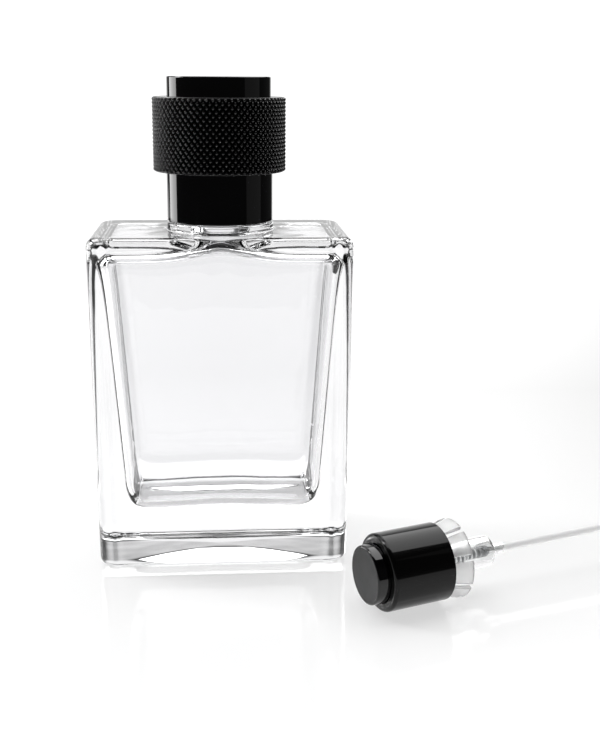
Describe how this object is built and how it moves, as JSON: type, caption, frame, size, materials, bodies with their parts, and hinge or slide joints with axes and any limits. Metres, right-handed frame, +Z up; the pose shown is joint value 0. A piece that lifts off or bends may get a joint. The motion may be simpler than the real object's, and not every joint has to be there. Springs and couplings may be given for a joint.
{
  "type": "aftershave bottle",
  "caption": "Square heavy glass fragrance bottle with a knurled black slip-on cap and its push-on spray pump lying beside it, with a sliding collar, press button and dip tube.",
  "frame": {"origin": "centre of the bottle's flat base, on the surface it stands on", "axes": "+Z up along the neck, +X to the right of the bottle, +Y to its back"},
  "size_m": [0.1548, 0.0715, 0.1211],
  "materials": {
    "clear_glass": "fire-polished moulded soda-lime glass",
    "gloss_black_cap": "piano-black gloss moulding",
    "knurled_aluminium": "diamond-knurled and black anodised, satin",
    "plated_steel": "tumbled zinc-plated slug",
    "natural_polypropylene": "natural moulded polypropylene",
    "black_lacquer": "gloss black lacquered aluminium shell",
    "clear_polypropylene": "clear moulded polypropylene",
    "frosted_polypropylene": "clear moulded polypropylene with a soft haze",
    "soft_polyethylene": "soft moulded polyethylene",
    "stainless_wire": "drawn stainless spring wire",
    "stainless_ball": "polished stainless ball",
    "milky_tube": "extruded natural polyethylene tube",
    "black_button": "gloss black moulding with a satin top",
    "black_insert": "black moulded acetal insert"
  },
  "bodies": {
    "bottle": {"glass_bottle": "clear_glass"},
    "cap": {"cap_shell": "gloss_black_cap", "knurled_ring": "knurled_aluminium", "cap_weight": "plated_steel", "cap_liner": "natural_polypropylene"},
    "pump": {"fastener_ring": "clear_polypropylene", "neck_gasket": "soft_polyethylene", "pump_housing": "frosted_polypropylene", "stem_guide": "natural_polypropylene", "return_spring": "stainless_wire", "dip_tube": "milky_tube"},
    "collar": {"collar_shell": "black_lacquer", "collar_sleeve": "natural_polypropylene"},
    "finger_1": {"snap_finger_1": "clear_polypropylene"},
    "finger_2": {"snap_finger_2": "clear_polypropylene"},
    "finger_3": {"snap_finger_3": "clear_polypropylene"},
    "finger_4": {"snap_finger_4": "clear_polypropylene"},
    "finger_5": {"snap_finger_5": "clear_polypropylene"},
    "finger_6": {"snap_finger_6": "clear_polypropylene"},
    "finger_7": {"snap_finger_7": "clear_polypropylene"},
    "finger_8": {"snap_finger_8": "clear_polypropylene"},
    "stem": {"pump_stem": "natural_polypropylene", "piston": "soft_polyethylene"},
    "button": {"spray_button": "black_button", "spray_insert": "black_insert"},
    "ball": {"inlet_ball": "stainless_ball"}
  },
  "joints": [
    {"name": "cap_lift", "type": "slide", "parent": "bottle", "child": "cap", "axis": [0, 0, 1], "range_m": [0, 0.06]},
    {"name": "pump_lift", "type": "slide", "parent": "bottle", "child": "pump", "axis": [0, 0, 1], "range_m": [0, 0.06]},
    {"name": "collar_lock", "type": "slide", "parent": "pump", "child": "collar", "axis": [0.9425, 0.3338, 0.0156], "range_m": [0, 0.00484]},
    {"name": "finger_1_bend", "type": "hinge", "parent": "pump", "child": "finger_1", "pos_m": [0.04745, -0.03983, 0.01653], "axis": [-0.3338, 0.9426, 0], "range_deg": [0, 11.5]},
    {"name": "finger_2_bend", "type": "hinge", "parent": "pump", "child": "finger_2", "pos_m": [0.04581, -0.03512, 0.01446], "axis": [-0.2256, 0.6702, -0.707], "range_deg": [0, 11.5]},
    {"name": "finger_3_bend", "type": "hinge", "parent": "pump", "child": "finger_3", "pos_m": [0.0452, -0.03315, 0.00948], "axis": [0.0147, 0.0052, -0.9999], "range_deg": [0, 11.5]},
    {"name": "finger_4_bend", "type": "hinge", "parent": "pump", "child": "finger_4", "pos_m": [0.04596, -0.03507, 0.0045], "axis": [0.2465, -0.6629, -0.707], "range_deg": [0, 11.5]},
    {"name": "finger_5_bend", "type": "hinge", "parent": "pump", "child": "finger_5", "pos_m": [0.04765, -0.03976, 0.00243], "axis": [0.3338, -0.9426, 0], "range_deg": [0, 11.5]},
    {"name": "finger_6_bend", "type": "hinge", "parent": "pump", "child": "finger_6", "pos_m": [0.04929, -0.04447, 0.0045], "axis": [0.2256, -0.6702, 0.707], "range_deg": [0, 11.5]},
    {"name": "finger_7_bend", "type": "hinge", "parent": "pump", "child": "finger_7", "pos_m": [0.0499, -0.04644, 0.00948], "axis": [-0.0147, -0.0052, 0.9999], "range_deg": [0, 11.5]},
    {"name": "finger_8_bend", "type": "hinge", "parent": "pump", "child": "finger_8", "pos_m": [0.04914, -0.04452, 0.01446], "axis": [-0.2465, 0.6629, 0.707], "range_deg": [0, 11.5]},
    {"name": "button_press", "type": "slide", "parent": "pump", "child": "stem", "axis": [0.9425, 0.3338, 0.0156], "range_m": [0, 0.004], "stiffness_N_per_m": 300, "springref_m": -0.002, "deforming": ["return_spring"]},
    {"name": "button_turn", "type": "hinge", "parent": "stem", "child": "button", "pos_m": [0.03718, -0.04347, 0.00931], "axis": [-0.9425, -0.3338, -0.0156], "continuous": true},
    {"name": "ball_lift", "type": "slide", "parent": "pump", "child": "ball", "axis": [-0.9425, -0.3338, -0.0156], "range_m": [0, 0.0008]}
  ],
  "couplings": [
    {"joint": "finger_1_bend", "follows": "collar_lock", "rad_per_m": 41.434},
    {"joint": "finger_2_bend", "follows": "collar_lock", "rad_per_m": 41.434},
    {"joint": "finger_3_bend", "follows": "collar_lock", "rad_per_m": 41.434},
    {"joint": "finger_4_bend", "follows": "collar_lock", "rad_per_m": 41.434},
    {"joint": "finger_5_bend", "follows": "collar_lock", "rad_per_m": 41.434},
    {"joint": "finger_6_bend", "follows": "collar_lock", "rad_per_m": 41.434},
    {"joint": "finger_7_bend", "follows": "collar_lock", "rad_per_m": 41.434},
    {"joint": "finger_8_bend", "follows": "collar_lock", "rad_per_m": 41.434}
  ]
}
